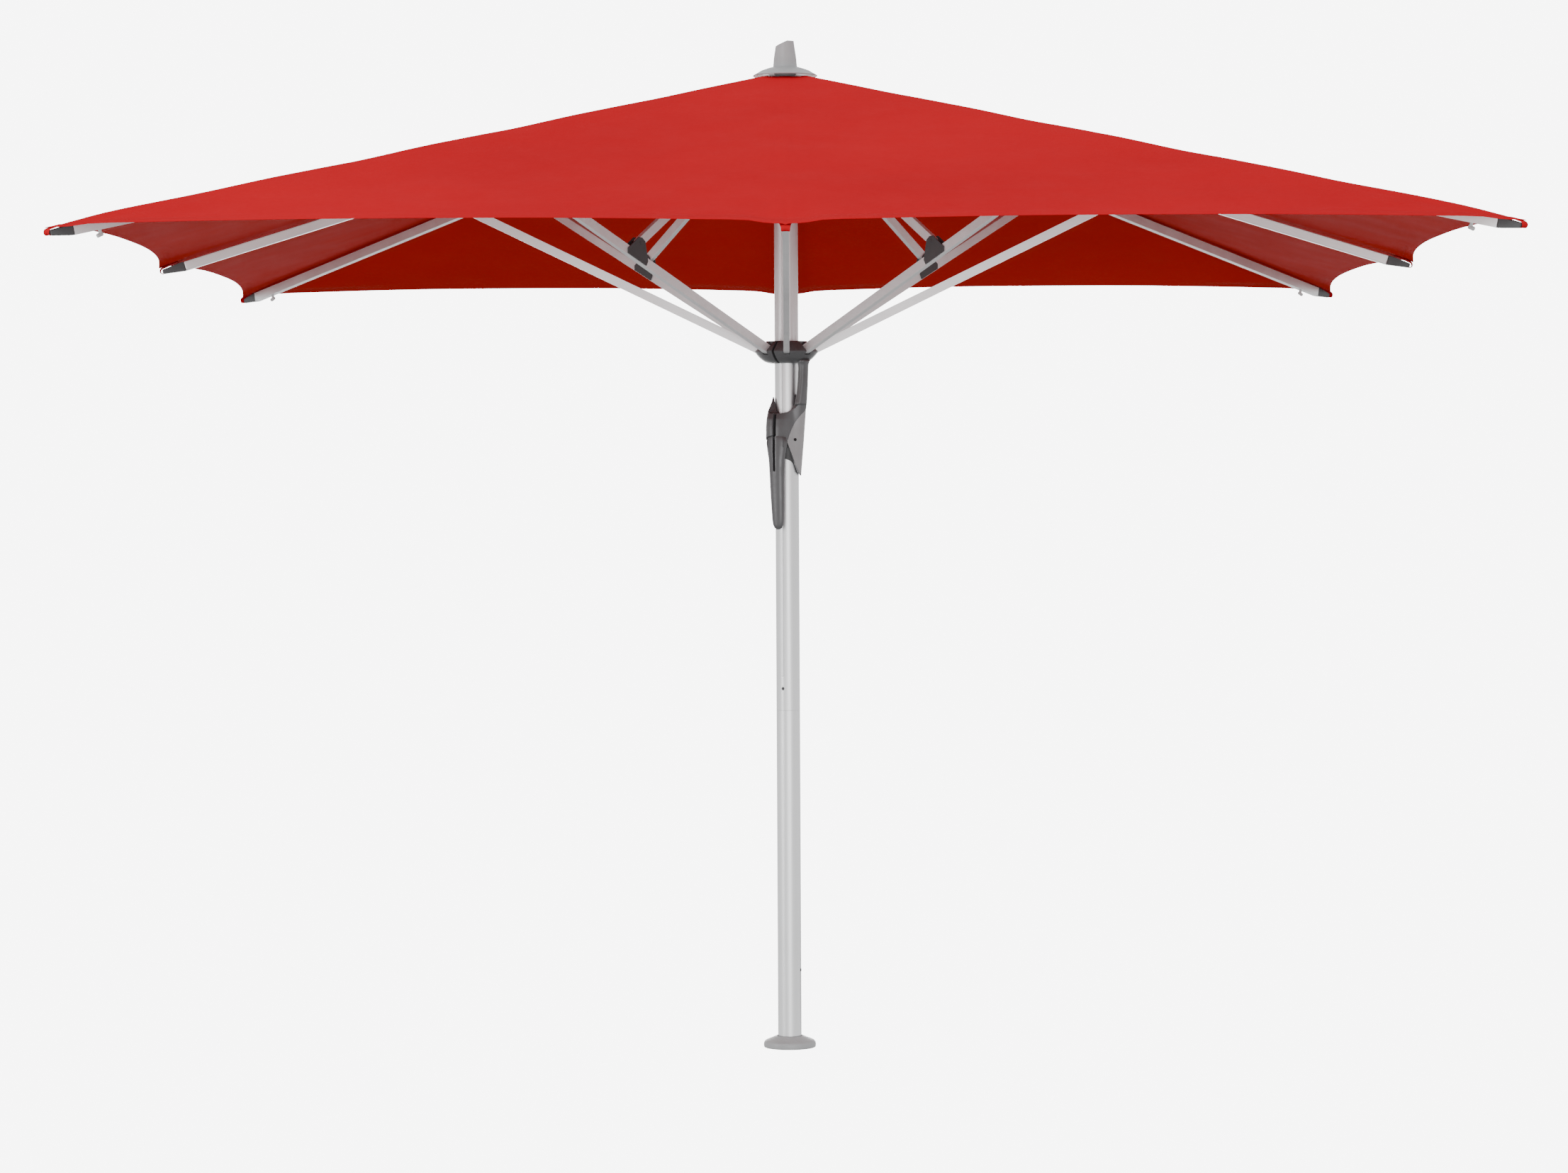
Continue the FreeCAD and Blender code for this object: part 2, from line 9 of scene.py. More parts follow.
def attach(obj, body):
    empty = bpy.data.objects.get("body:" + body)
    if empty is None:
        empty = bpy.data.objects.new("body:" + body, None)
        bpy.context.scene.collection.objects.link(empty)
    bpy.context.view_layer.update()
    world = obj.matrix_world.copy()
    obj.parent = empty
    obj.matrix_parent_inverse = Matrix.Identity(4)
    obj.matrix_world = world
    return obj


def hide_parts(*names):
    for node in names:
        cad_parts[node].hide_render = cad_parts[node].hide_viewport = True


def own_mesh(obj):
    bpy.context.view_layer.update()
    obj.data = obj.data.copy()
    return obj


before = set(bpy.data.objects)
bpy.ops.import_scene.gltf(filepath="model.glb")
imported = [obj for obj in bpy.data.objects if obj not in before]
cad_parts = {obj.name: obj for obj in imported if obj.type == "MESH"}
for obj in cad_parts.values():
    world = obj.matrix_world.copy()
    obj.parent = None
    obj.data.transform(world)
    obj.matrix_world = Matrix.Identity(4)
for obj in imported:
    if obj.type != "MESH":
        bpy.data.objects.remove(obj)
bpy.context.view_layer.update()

CORNERS = {
    "corner_back_right": 45,
    "corner_back_left": 135,
    "corner_front_left": 225,
    "corner_front_right": 315,
}
SIDES = {"side_right": 0, "side_back": 90, "side_left": 180, "side_front": 270}
EVERY = {**CORNERS, **SIDES}
HALF, HEM, APEX = 1.750, 2.194, 2.725  # canopy half side, hem and apex heights
SCALLOP = 0.057  # how far the hem curves in between two ribs
START = 0.060  # the cloth starts this far from the axis, under the top disc
CLOTH = 0.0011  # the cloth's thickness
HEM_BAND, HEM_RISE = 0.028, 0.0011  # width and height of the hem's folded band
SEAM_BAND, SEAM_RISE = 0.026, 0.0009  # the same for the seam over a rib, on each side of it
TIP_DROP = 0.0085  # the cloth is drawn down this far on to a rib's cap
PIVOT_REACH, PIVOT_HEIGHT = 0.058, 2.690  # a rib's inner pivot
RIB_TIP = 2.170  # height of a rib's outer end
RAIL = -116  # azimuth of the guide rail and of the lever, in degrees

# ---- materials -----------------------------------------------------------------------------------


class Socket:
    """An output socket whose arithmetic builds math nodes."""

    def __init__(self, graph, out):
        self.graph, self.out = graph, out

    def math(self, kind, other):
        return self.graph.node("ShaderNodeMath", {0: self, 1: other}, operation=kind)

    def __add__(self, other):
        return self.math("ADD", other)

    def __mul__(self, other):
        return self.math("MULTIPLY", other)


class Graph:
    """A material's nodes. node() makes any node and returns its output."""

    def __init__(self, name, **constants):
        self.material = bpy.data.materials.new(name)
        self.material.use_nodes = True
        self.nodes, self.links = self.material.node_tree.nodes, self.material.node_tree.links
        self.shader = self.nodes["Principled BSDF"]
        for key, value in constants.items():
            self.shader.inputs[key.replace("_", " ")].default_value = value

    def node(self, kind, inputs=None, output=0, **settings):
        made = self.nodes.new(kind)
        for key, value in settings.items():
            setattr(made, key, value)
        for key, value in (inputs or {}).items():
            if isinstance(value, Socket):
                self.links.new(value.out, made.inputs[key])
            else:
                made.inputs[key].default_value = value
        return Socket(self, made.outputs[output])

    def to(self, name, socket):
        self.links.new(socket.out, self.shader.inputs[name])

    def where(self):
        return self.node("ShaderNodeTexCoord", output="Object")

    def noise(self, scale, detail, vector=None):
        inputs = {"Vector": vector or self.where(), "Scale": scale, "Detail": detail}
        return self.node("ShaderNodeTexNoise", inputs, output="Fac")

    def ramp(self, factor, low, high, dark, light):
        """factor from low to high, as a colour from dark to light."""
        inputs = {0: self.spread(factor, low, high), 6: dark, 7: light}
        return self.node("ShaderNodeMix", inputs, output=2, data_type="RGBA")

    def spread(self, value, low, high, to_low=0.0, to_high=1.0):
        return self.node("ShaderNodeMapRange", {0: value, 1: low, 2: high, 3: to_low, 4: to_high})

    def bump(self, height, strength, distance):
        inputs = {"Height": height, "Strength": strength, "Distance": distance}
        self.to("Normal", self.node("ShaderNodeBump", inputs))


def shade(rgb, k):
    return (rgb[0] * k, rgb[1] * k, rgb[2] * k, 1)


def weave(graph, where, direction):
    """One of the two sets of threads in the cloth."""
    inputs = {"Vector": where, "Scale": 420.0, "Distortion": 0.4}
    return graph.node("ShaderNodeTexWave", inputs, output="Fac", bands_direction=direction)


def fabric(name, rgb, k_low=0.93, k_high=1.05):
    """Woven acrylic canvas with broad, faint unevenness in its dye and a fine plain weave."""
    g = Graph(name, Specular_IOR_Level=0.02)
    broad = g.noise(1.3, 4)
    fine = g.noise(60, 2)
    dark, light = shade(rgb, k_low), shade(rgb, k_high)
    g.to("Base Color", g.ramp(broad * 0.8 + fine * 0.2, 0.35, 0.65, dark, light))
    g.to("Roughness", g.spread(g.noise(9, 2), 0.3, 0.7, 0.82, 0.93))
    where = g.where()
    threads = weave(g, where, "X")
    cross = weave(g, where, "Y")
    g.bump(threads * cross + g.noise(16, 3) * 0.8, 0.12, 0.0006)
    return g.material


def metal(name, rgb, rough, along_scale=(90, 90, 1.2), wear=0.06, gleam=1.0):
    """Anodised aluminium: drawn lines along the tube and faint handling marks."""
    g = Graph(name, Metallic=gleam)
    stretched = g.node("ShaderNodeMapping", {"Vector": g.where(), "Scale": along_scale})
    lines = g.noise(3.0, 4, stretched)
    cloud = g.noise(5.0, 5)
    dark, light = shade(rgb, 1 - wear), shade(rgb, 1 + wear * 0.5)
    g.to("Base Color", g.ramp(cloud * 0.6 + lines * 0.4, 0.35, 0.65, dark, light))
    g.to("Roughness", g.spread(cloud * 0.5 + lines * 0.5, 0.3, 0.7, rough - 0.05, rough + 0.06))
    g.bump(lines, 0.03, 0.0002)
    return g.material


def moulded(name, rgb, rough, grain=0.0004, spread=0.08, **more):
    """Moulded or powder-coated surface with a fine grain and slightly uneven gloss."""
    g = Graph(name, **more)
    cloud = g.noise(14, 4)
    g.to("Base Color", g.ramp(cloud, 0.3, 0.7, shade(rgb, 1 - spread), shade(rgb, 1 + spread)))
    g.to("Roughness", g.spread(g.noise(30, 3), 0.3, 0.7, rough - 0.06, rough + 0.07))
    g.bump(g.noise(900, 2), 0.10, grain)
    return g.material


RED_TOP = fabric("canvas_top", (0.50, 0.0080, 0.0150))
# the underside is the same canvas as the top, painted a darker, warmer red: painted shade
RED_UNDER_SHADED = fabric("canvas_under_shaded", (0.45, 0.0130, 0.0080))
MAST = metal("mast_aluminium", (0.86, 0.865, 0.87), 0.40)
BAR = metal("rib_aluminium", (0.86, 0.865, 0.87), 0.38, (6, 6, 6), gleam=0.6)
CAST = moulded("cast_grey", (0.112, 0.113, 0.117), 0.34, Metallic=0.30)
WING = moulded("light_grey", (0.36, 0.36, 0.365), 0.42, Metallic=0.2)
# dark grey plastic of caps, brackets and small parts; it also paints the shade inside the housing's collar
DARK_PLASTIC_AND_SHADE = moulded("dark_grey_plastic_and_shade", (0.060, 0.061, 0.064), 0.42)
# near black: the painted shade inside slots, gaps and recesses
PAINTED_SHADOW = moulded("shadow_gap", (0.008, 0.008, 0.009), 0.6)
RING = moulded("ring_grey", (0.36, 0.365, 0.37), 0.38)
FINIAL = moulded("finial_grey", (0.34, 0.345, 0.35), 0.36)
STEEL = metal("pin_steel", (0.55, 0.55, 0.56), 0.28, (20, 20, 20))
HOOK = moulded("hook_plastic", (0.60, 0.60, 0.60), 0.45)

# ---- mesh helpers --------------------------------------------------------------------------------


def mesh(name, points, faces, material, smooth=True):
    data = bpy.data.meshes.new(name)
    data.from_pydata([tuple(p) for p in points], [], faces)
    data.validate()
    if smooth:
        data.shade_smooth()
    else:
        data.shade_flat()
    obj = bpy.data.objects.new(name, data)
    bpy.context.scene.collection.objects.link(obj)
    data.materials.append(material)
    return obj


def soften(obj, width, segments=2, angle=32):
    """Rounds obj's edges that are sharper than angle, in degrees, and keeps its flats flat."""
    bevel = obj.modifiers.new("round", "BEVEL")
    bevel.width, bevel.segments = width, segments
    bevel.limit_method, bevel.angle_limit = "ANGLE", math.radians(angle)
    obj.modifiers.new("normals", "WEIGHTED_NORMAL").keep_sharp = True
    return obj


def dress(node, material, edge):
    """Gives a CAD node its finish and softened edges."""
    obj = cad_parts[node]
    obj.data.materials.clear()
    obj.data.materials.append(material)
    weld = obj.modifiers.new("weld", "WELD")
    weld.merge_threshold = 1e-5
    soften(obj, edge)


def bake(obj):
    """Turns obj's modifiers into its mesh."""
    bpy.context.view_layer.update()
    done = bpy.data.meshes.new_from_object(obj.evaluated_get(bpy.context.evaluated_depsgraph_get()))
    obj.modifiers.clear()
    obj.data = done


def carve(obj, cutters):
    """Cuts the cutters out of obj and removes them."""
    for cutter in cutters:
        cut = obj.modifiers.new("cut", "BOOLEAN")
        cut.object, cut.operation, cut.solver = cutter, "DIFFERENCE", "EXACT"
    bake(obj)
    for cutter in cutters:
        bpy.data.objects.remove(cutter)


def polar(azimuth, reach, height):
    a = math.radians(azimuth)
    return Vector((reach * math.cos(a), reach * math.sin(a), height))


def placed(azimuth, reach=0.0, height=0.0, tilt=0.0):
    """Matrix of a frame whose X points out at azimuth and down by tilt, in degrees."""
    turn = Matrix.Rotation(math.radians(azimuth), 4, "Z") @ Matrix.Rotation(math.radians(tilt), 4, "Y")
    return Matrix.Translation(polar(azimuth, reach, height)) @ turn


def circle(steps):
    """Cosine and sine at even steps round a circle."""
    turns = [2 * math.pi * i / steps for i in range(steps)]
    return [(math.cos(t), math.sin(t)) for t in turns]


def squared(value, power):
    """value to a power, with its sign kept: a power under 1 makes a circle squarish."""
    return math.copysign(abs(value) ** power, value)


def grid_faces(rows, columns, wrap=False):
    faces = []
    for r in range(rows - 1):
        here, above = r * columns, (r + 1) * columns
        for c in range(columns if wrap else columns - 1):
            d = (c + 1) % columns
            faces.append((here + c, here + d, above + d, above + c))
    return faces


def loft(name, rings, material, matrix=Matrix.Identity(4)):
    """A closed skin through rings of points, all with the same count, capped at both ends."""
    count = len(rings[0])
    points = [matrix @ Vector(p) for ring in rings for p in ring]
    faces = grid_faces(len(rings), count, wrap=True)
    faces.append(tuple(reversed(range(count))))
    faces.append(tuple(range(len(points) - count, len(points))))
    return mesh(name, points, faces, material)


def lathe(name, profile, material, steps=96):
    """A closed turned solid from (radius, height) points, listed round its section from the bottom inside."""
    rings = [[(r * c, r * s, z) for c, s in circle(steps)] for r, z in profile]
    points = [p for ring in rings for p in ring]
    faces = grid_faces(len(rings), steps, wrap=True)
    last = (len(rings) - 1) * steps
    faces += [(last + i, last + (i + 1) % steps, (i + 1) % steps, i) for i in range(steps)]
    return mesh(name, points, faces, material)


def block(name, low, high, material, matrix=Matrix.Identity(4)):
    xs, ys, zs = zip(low, high)
    points = [matrix @ Vector((x, y, z)) for x in xs for y in ys for z in zs]
    faces = [(0, 1, 3, 2), (4, 6, 7, 5), (0, 4, 5, 1), (2, 3, 7, 6), (0, 2, 6, 4), (1, 5, 7, 3)]
    return mesh(name, points, faces, material, smooth=False)


def round_bar(name, a, b, radius, material, steps=24):
    """A cylinder from a to b."""
    axis = (Vector(b) - Vector(a)).normalized()
    side = axis.orthogonal().normalized()
    other = axis.cross(side)
    ring = [side * c * radius + other * s * radius for c, s in circle(steps)]
    return loft(name, [[Vector(a) + p for p in ring], [Vector(b) + p for p in ring]], material)


def lerp(table, x):
    """Straight interpolation in a table of (x, y)."""
    if x <= table[0][0]:
        return table[0][1]
    for (x0, y0), (x1, y1) in zip(table, table[1:]):
        if x <= x1:
            t = (x - x0) / (x1 - x0)
            return y0 + (y1 - y0) * t
    return table[-1][1]


# ---- canopy --------------------------------------------------------------------------------------


def hem_reach(t):
    """Distance of the hem along a gore, t from 0 at the side rib to 1 at the corner rib."""
    return HALF - SCALLOP * (1 - abs(2 * t - 1) ** 2.6)


def cloth(u, t, quarter, hand):
    """A point of the canopy.

    u goes out along the gore, and t from the side rib to the corner rib. quarter is the side rib's azimuth in
    quarter turns, and hand is +1 or -1 for the side of it that the gore is on.
    """
    reach = START + (hem_reach(t) - START) * u
    x, y = reach, reach * t * hand
    near_rib = 0.6366 * math.sin(math.pi * t) * reach  # metres away from the nearer rib, roughly
    sag = 0.009 * (1 - math.exp(-((near_rib / 0.32) ** 2))) * math.sin(math.pi * min(u, 0.98)) ** 0.7
    tip = math.exp(-((1 - u) / 0.22) ** 2)
    fold = 0.0028 * tip * math.sin(near_rib * 52) * math.exp(-near_rib / 0.30)
    ripple = 0.0016 * math.sin(reach * 17 + 3 * t + quarter) * math.exp(-near_rib / 0.15)
    z = APEX - (APEX - HEM) * x / HALF - sag + fold + ripple * math.sin(math.pi * u)
    z -= TIP_DROP * math.exp(-((1 - u) / 0.05) ** 2 - (near_rib / 0.10) ** 2)
    z += HEM_RISE * (hem_reach(t) - reach < HEM_BAND) + SEAM_RISE * (near_rib < SEAM_BAND)
    c, s = math.cos(math.pi / 2 * quarter), math.sin(math.pi / 2 * quarter)
    return Vector((x * c - y * s, x * s + y * c, z))


def columns_of(t_low, t_high):
    """Columns from a rib to the middle of a gore, closer together beside the rib, where the seam is."""
    near = [0, 0.004, 0.0125, 0.016, 0.03, 0.05, 0.08, 0.11, 0.15]
    far = [0.19, 0.23, 0.27, 0.31, 0.35, 0.40, 0.45, 0.5]
    return [t_low + (t_high - t_low) * n / 0.5 for n in near + far]


def rows():
    """Steps along a gore, closer together at the hem."""
    even = [i / 56 for i in range(55)]
    return even + [0.9830, 0.9838, 0.992, 0.9985, 1.0]


def count_faces(data):
    """Each edge with the number of faces that share it."""
    shared = {}
    for polygon in data.polygons:
        for key in polygon.edge_keys:
            shared[key] = shared.get(key, 0) + 1
    return [(edge, shared[edge.key]) for edge in data.edges]


def face_up(obj):
    """Turns a sheet's faces over where they point down."""
    if sum(p.normal.z for p in obj.data.polygons) < 0:
        obj.data.flip_normals()


def rib_reach(label):
    """Distance of a gore's outer end from the axis."""
    return HALF * (math.sqrt(2) if label in CORNERS else 1)


def half_gore(corner, quarter, hand):
    """Columns from a rib to the middle of one of its gores, as (t, quarter, hand) for cloth()."""
    if not corner:
        return [(t, quarter, hand) for t in columns_of(0, 0.5)]
    side_rib = quarter if hand > 0 else quarter + 1
    return [(t, side_rib, hand) for t in columns_of(1, 0.5)]


def petal(label, azimuth):
    """The cloth that one rib carries: half a gore on each of its sides."""
    corner = label in CORNERS
    quarter = (azimuth - 45) / 90 if corner else azimuth / 90
    strip = half_gore(corner, quarter, 1)[::-1] + half_gore(corner, quarter, -1)[1:]
    points = [cloth(u, *column) for u in rows() for column in strip]
    obj = mesh("canopy_" + label, points, grid_faces(len(rows()), len(strip)), RED_TOP)
    face_up(obj)
    data = obj.data
    area = sum(p.area for p in data.polygons)
    for edge, shared in count_faces(data):
        edge.use_edge_sharp = shared == 1
    skin = obj.modifiers.new("thickness", "SOLIDIFY")
    # the under face takes the second, darker canvas material: painted shade of the underside
    skin.thickness, skin.offset, skin.material_offset, skin.material_offset_rim = CLOTH, -1, 1, 0
    data.materials.append(RED_UNDER_SHADED)
    ridge = math.hypot(rib_reach(label), APEX - HEM)
    return obj, (2 * area / ridge, ridge), area


# a pocket's middle line, from the rib's top over its tip: (reach, height, half width)
POCKET = [
    (-0.060, 0.0016, 0.021),
    (-0.03, 0.0018, 0.017),
    (-0.008, 0.0016, 0.0135),
    (-0.004, 0.0004, 0.0125),
    (-0.001, -0.004, 0.012),
    (0.0, -0.010, 0.011),
    (-0.003, -0.015, 0.010),
    (-0.010, -0.018, 0.009),
]


def pocket(label, at):
    """The cloth pocket that holds a rib's tip."""
    strip = []
    for x, z, half in POCKET:
        across = (-half, -half / 2, 0, half / 2, half)
        strip.append([(x, y, z - 0.25 * abs(y) * (x > -0.01)) for y in across])
    points = [at @ Vector(p) for line in strip for p in line]
    obj = mesh("pocket_" + label, points, grid_faces(len(strip), len(strip[0])), RED_TOP)
    face_up(obj)
    obj.modifiers.new("thickness", "SOLIDIFY").thickness = 0.0016
    obj.modifiers.new("round", "SUBSURF").levels = 2
    return obj


for label, azimuth in EVERY.items():
    obj, flat, area = petal(label, azimuth)
    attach(obj, "rib_" + label)
    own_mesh(obj)
    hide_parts("canopy")
    slope = math.degrees(math.atan2(APEX - HEM, rib_reach(label)))
    tip = pocket(label, placed(azimuth, rib_reach(label), HEM - TIP_DROP, slope))
    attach(tip, "rib_" + label)

# ---- metal and plastic of the CAD frame ----------------------------------------------------------

# finish and edge rounding by the start of a node's name: the first that fits counts, and "" is the rest
FINISHES = [
    ("rib_cap", DARK_PLASTIC_AND_SHADE, 0.0035),
    ("bracket", DARK_PLASTIC_AND_SHADE, 0.0012),
    ("rib_", BAR, 0.0022),
    ("strut", BAR, 0.0045),
    ("stay", BAR, 0.0045),
    ("mast_screws", DARK_PLASTIC_AND_SHADE, 0.0005),
    ("lever_pin", DARK_PLASTIC_AND_SHADE, 0.0005),
    ("mast_head_pins", STEEL, 0.0006),
    ("crown_pins", STEEL, 0.0006),
    ("runner_pins", STEEL, 0.0006),
    ("base_socket", STEEL, 0.0006),
    ("mast_head", CAST, 0.0015),
    ("crown_hub", CAST, 0.0015),
    ("mast_", MAST, 0.0006),
    ("guide_rail", MAST, 0.001),
    ("crown_tube", MAST, 0.001),
    ("cover_ring", RING, 0.003),
    ("finial", FINIAL, 0.003),
    ("top_disc", FINIAL, 0.001),
    ("", DARK_PLASTIC_AND_SHADE, 0.001),
]

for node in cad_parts:
    if node != "canopy":
        material, edge = next((m, e) for start, m, e in FINISHES if node.startswith(start))
        dress(node, material, edge)

# ---- runner hub ----------------------------------------------------------------------------------

HUB = [
    (0.0355, 1.913),
    (0.042, 1.9125),
    (0.052, 1.9145),
    (0.063, 1.919),
    (0.073, 1.9265),
    (0.081, 1.935),
    (0.0865, 1.9415),
    (0.0880, 1.9450),
    (0.0872, 1.9480),
    (0.0845, 1.9502),
    (0.078, 1.9565),
    (0.070, 1.9640),
    (0.0620, 1.9715),
    (0.0590, 1.9735),
    (0.056, 1.9745),
    (0.0375, 1.9752),
    (0.0355, 1.974),
]
hub = lathe("hub_shell", HUB, CAST, 128)


def opening(name, start, half, low, azimuth):
    """A cutter from start outwards, half wide on each side of azimuth, and open above low."""
    return block(name, (start, -half, low), (0.15, half, 2.1), CAST, placed(azimuth))


notches = [opening("notch", 0.058, 0.0092, 1.936, azimuth) for azimuth in EVERY.values()]
carve(hub, notches + [opening("slit", 0.02, 0.0036, 1.85, RAIL)])
soften(hub, 0.0011, 2, 38)
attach(hub, "runner")
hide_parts("runner_hub")

# ---- lever housing: shells wrapped round the mast ------------------------------------------------

HOUSING_RADIUS = 0.0385  # away from its bulges
# share of the housing's two bulges by height: (height, share)
FRONT = [(1.60, 1.0), (1.735, 1.0), (1.757, 0.95), (1.78, 0.78), (1.80, 0.48), (1.82, 0.10), (1.83, 0.0)]
RIGHT = [(1.60, 0.25), (1.70, 0.8), (1.78, 1.15), (1.85, 1.35)]


def swell(phi, z):
    """Outside radius of the housing at azimuth phi and height z."""
    front = 0.045 * math.exp(-(((phi + 124) / 37) ** 2)) * lerp(FRONT, z)
    right = 0.020 * math.exp(-(((phi + 34) / 34) ** 2)) * lerp(RIGHT, z)
    return HOUSING_RADIUS + front + right


def wrap(name, phis, low, high, inside, material, lift=0.0, levels=20):
    """A thick shell over azimuths phis between the heights low(phi) and high(phi)."""
    count = len(phis)
    outer, inner = [], []
    for k in range(levels + 1):
        for phi in phis:
            z = low(phi) + (high(phi) - low(phi)) * k / levels
            outer.append(polar(phi, swell(phi, z) + lift, z))
            inner.append(polar(phi, inside, z))
    total = len(outer)
    faces = grid_faces(levels + 1, count)
    faces += [tuple(total + i for i in reversed(f)) for f in faces]
    for k in range(levels):
        for c in (0, count - 1):
            a, b = k * count + c, (k + 1) * count + c
            faces.append((a, b, total + b, total + a) if c == 0 else (b, a, total + a, total + b))
    for k in (0, levels):
        for c in range(count - 1):
            a, b = k * count + c, k * count + c + 1
            faces.append((b, a, total + a, total + b) if k == 0 else (a, b, total + b, total + a))
    obj = mesh(name, outer + inner, faces, material)
    soften(obj, 0.0016, 3, 40)
    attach(obj, "runner")
    return obj


def evenly(a, b, count):
    """count even steps from a to b, with both ends."""
    return [a + (b - a) * i / count for i in range(count + 1)]


# edges of the housing's shells: (azimuth in degrees, height)
TOP = [
    (-205, 1.800), (-190, 1.818), (-178, 1.820), (-165, 1.814), (-155, 1.800), (-146, 1.786), (-136, 1.776),
    (-120, 1.772), (-104, 1.7735), (-86, 1.777), (-72, 1.782), (-60, 1.791), (-51, 1.803), (-46, 1.820),
    (-36, 1.826),
]
SEAM = [
    (-205, 1.690), (-170, 1.692), (-150, 1.698), (-136, 1.706), (-120, 1.711), (-106, 1.708), (-96, 1.701),
    (-88, 1.697), (-82, 1.714), (-74, 1.730), (-62, 1.750), (-46, 1.770), (-30, 1.785), (-20, 1.79),
]
WING_LOW = [
    (-90, 1.694), (-80, 1.672), (-68, 1.650), (-55, 1.628), (-40, 1.609), (-10, 1.600), (20, 1.606),
    (60, 1.64), (110, 1.69),
]
WING_TOP = [
    (-90, 1.6965), (-82, 1.7135), (-74, 1.7295), (-62, 1.7495), (-46, 1.7695), (-30, 1.7845), (-10, 1.79),
    (60, 1.78), (150, 1.76),
]
COLLAR_LOW = [
    (-150, 1.66), (-110, 1.650), (-90, 1.645), (-70, 1.640), (-50, 1.627), (-38, 1.611), (-20, 1.606),
    (20, 1.612), (110, 1.69),
]


def along(table):
    """A shell's edge as a function of azimuth."""
    return lambda phi: lerp(table, phi)


left = wrap("housing_left", evenly(-205, -119.0, 30), along(SEAM), along(TOP), 0.0350, CAST)
wrap("housing_right", evenly(-113.0, -24, 34), along(SEAM), along(TOP), 0.0350, CAST)
wrap("housing_wing", evenly(-89, 110, 60), along(WING_LOW), along(WING_TOP), 0.0365, WING, -0.0012)
# the collar is the housing's inside seen through its lower opening, coloured dark grey for the shade there:
# painted shade
collar = wrap("housing_collar", evenly(-150, 110, 60), along(COLLAR_LOW), lambda phi: 1.70, 0.0343, DARK_PLASTIC_AND_SHADE)
COLLAR_RADIUS = 0.0362
for v in collar.data.vertices:  # the collar's outside doesn't follow the bulges
    r = math.hypot(v.co.x, v.co.y)
    if r > COLLAR_RADIUS - 0.001:
        v.co.x *= COLLAR_RADIUS / r
        v.co.y *= COLLAR_RADIUS / r
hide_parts("lever_housing")


def arm_ring(f):
    """Section of the arm from the hub, f = 0, down to the housing, f = 1."""
    phi = -37 - 5 * f ** 2.2
    flare = 0.004 * max(0, 1 - f * 6) ** 2
    half_t = 0.0148 + 0.006 * max(0, 1 - f * 6) ** 2 + 0.004 * f ** 3
    centre, out = polar(phi, 0.0585 - 0.006 * f ** 2, 1.922 - f * 0.126), polar(phi, 1, 0)
    side = Vector((-out.y, out.x, 0))
    depth, width = out * (0.0115 + flare), side * half_t
    return [centre + depth * squared(c, 0.7) + width * squared(s, 0.7) for c, s in circle(28)]


arm = loft("housing_arm", [arm_ring(k / 18) for k in range(19)], CAST)
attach(arm, "runner")
SCREW_PHI, SCREW_HEIGHT = -62, 1.700
screw_in = polar(SCREW_PHI, 0.050, SCREW_HEIGHT)
screw_out = polar(SCREW_PHI, swell(SCREW_PHI, SCREW_HEIGHT) + 0.0004, SCREW_HEIGHT)
# the screw is drawn in the near-black shadow material: its dark disc is painted shade
screw = round_bar("housing_screw", screw_in, screw_out, 0.0042, PAINTED_SHADOW)
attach(screw, "runner")

# ---- lever handle --------------------------------------------------------------------------------

lever_at = placed(RAIL)
# sections of the handle from the top: (height, half width, half depth, distance from the axis)
HANDLE = [
    (1.7105, 0.0275, 0.0115, 0.0665),
    (1.700, 0.0308, 0.0120, 0.0668),
    (1.690, 0.0308, 0.0122, 0.0670),
    (1.670, 0.0280, 0.0122, 0.0672),
    (1.645, 0.0242, 0.0120, 0.0668),
    (1.615, 0.0222, 0.0118, 0.0660),
    (1.58, 0.0212, 0.0112, 0.0645),
    (1.54, 0.0202, 0.0106, 0.0625),
    (1.50, 0.0186, 0.0100, 0.0600),
    (1.475, 0.0172, 0.0094, 0.0585),
    (1.463, 0.0150, 0.0086, 0.0580),
    (1.455, 0.0110, 0.0070, 0.0576),
    (1.4505, 0.0050, 0.0040, 0.0574),
]


def handle_ring(z, wide, deep, reach):
    """Section of the handle at height z, with its outer face crowned."""
    ring = []
    for c, s in circle(40):
        y = wide * squared(s, 0.8)
        crown = (y / 0.029) ** 2
        arch = -0.006 * crown if z > 1.695 else 0
        ring.append((reach + deep * squared(c, 0.8) - 0.004 * crown * (c > 0), y, z + arch))
    return ring


handle = loft("lever_handle", [handle_ring(*section) for section in reversed(HANDLE)], CAST, lever_at)
carve(handle, [block("slot", (0.070, -0.0062, 1.612), (0.1, 0.0012, 1.73), PAINTED_SHADOW, lever_at)])
rounding = handle.modifiers.new("smooth", "BEVEL")
rounding.width, rounding.segments = 0.0012, 3
rounding.limit_method, rounding.angle_limit = "ANGLE", math.radians(40)
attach(handle, "lever")
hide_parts("lever")
# a near-black block at the back of the handle's slot: painted shade in the groove
groove = block("lever_groove_shadow", (0.0645, -0.0062, 1.612), (0.0712, 0.0012, 1.700), PAINTED_SHADOW, lever_at)
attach(groove, "lever")
# a near-black block in the housing's slit behind the lever: painted shade of the gap
slit_shadow = block("housing_gap_shadow", (0.040, -0.003, 1.700), (0.060, 0.003, 1.748), PAINTED_SHADOW, lever_at)
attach(slit_shadow, "runner")

# ---- cord hooks under the corner ribs ------------------------------------------------------------

HOOK_AT, HOOK_TOP, HOOK_END = 2.315, -0.013, -0.024  # along the rib, and down from its middle

